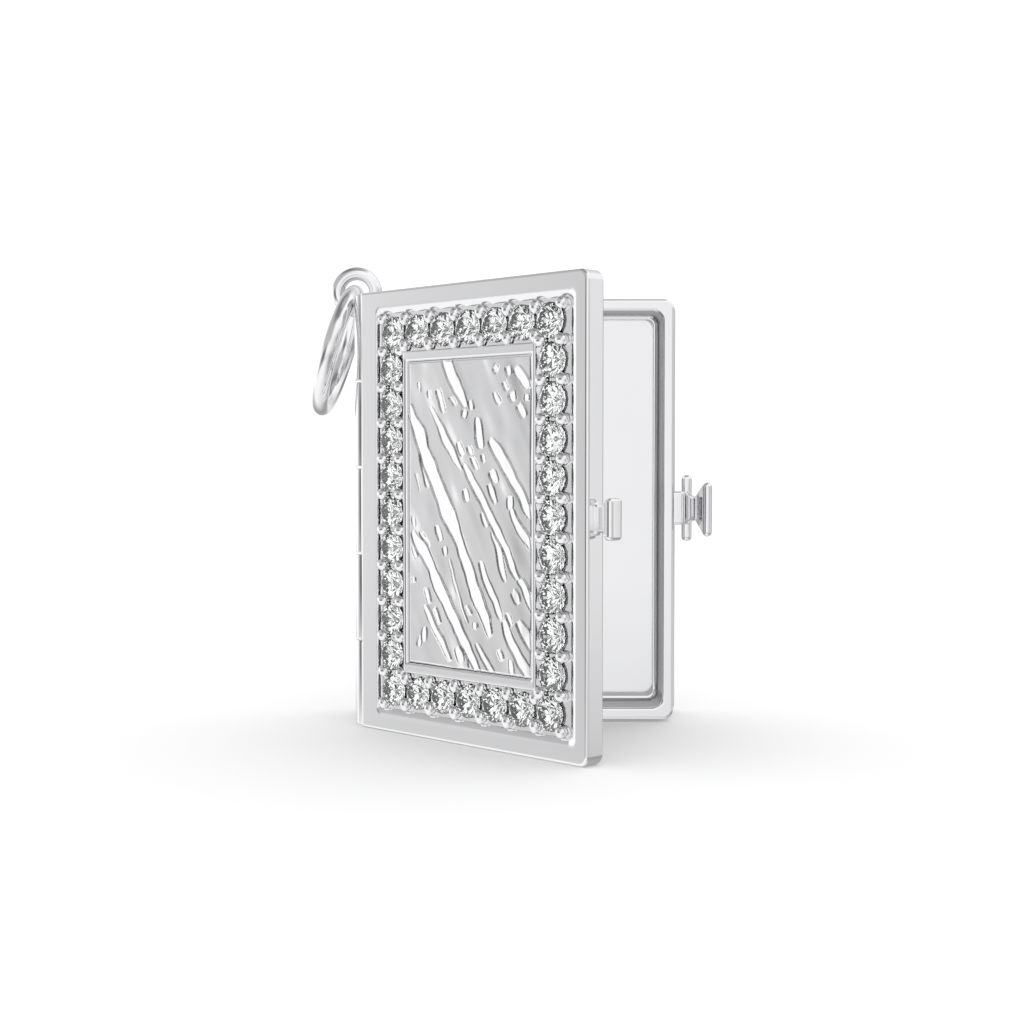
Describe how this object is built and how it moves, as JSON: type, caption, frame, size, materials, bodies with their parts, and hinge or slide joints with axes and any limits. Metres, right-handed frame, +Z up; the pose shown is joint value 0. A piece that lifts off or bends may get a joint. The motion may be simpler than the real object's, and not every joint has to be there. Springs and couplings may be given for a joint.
{
  "type": "book locket",
  "caption": "Silver book-shaped locket with a hinged, stone-set front cover, a relief panel, a hook and catch, and a jump ring.",
  "frame": {"origin": "middle of the bottom edge of the back cover, on the surface that the locket stands on", "axes": "+Z up along the spine, +X along the back cover from the spine to the free edge, -Y to the front"},
  "size_m": [0.0187, 0.0167, 0.0216],
  "materials": {
    "polished_silver": "mirror-polished rhodium-plated silver",
    "cast_relief": "bright cast relief",
    "stone": "colourless, round brilliant cut, polished"
  },
  "bodies": {
    "tray": {"back_tray": "polished_silver", "hinge_pin": "polished_silver"},
    "cover": {"front_cover": "polished_silver", "relief_panel": "cast_relief", "stone_01": "stone", "stone_02": "stone", "stone_03": "stone", "stone_04": "stone", "stone_05": "stone", "stone_06": "stone", "stone_07": "stone", "stone_08": "stone", "stone_09": "stone", "stone_10": "stone", "stone_11": "stone", "stone_12": "stone", "stone_13": "stone", "stone_14": "stone", "stone_15": "stone", "stone_16": "stone", "stone_17": "stone", "stone_18": "stone", "stone_19": "stone", "stone_20": "stone", "stone_21": "stone", "stone_22": "stone", "stone_23": "stone", "stone_24": "stone", "stone_25": "stone", "stone_26": "stone", "stone_27": "stone", "stone_28": "stone", "stone_29": "stone", "stone_30": "stone", "stone_31": "stone", "stone_32": "stone"},
    "ring": {"jump_ring": "polished_silver"}
  },
  "joints": [
    {"name": "cover_hinge", "type": "hinge", "parent": "tray", "child": "cover", "pos_m": [-0.0072, -0.00317, 0], "axis": [0, 0, 1], "range_deg": [-46.5, 44.5]},
    {"name": "ring_swing", "type": "hinge", "parent": "tray", "child": "ring", "pos_m": [-0.00796, -0.00097, 0.02033], "axis": [0.0175, 0.9998, 0], "range_deg": [0, 235]}
  ]
}
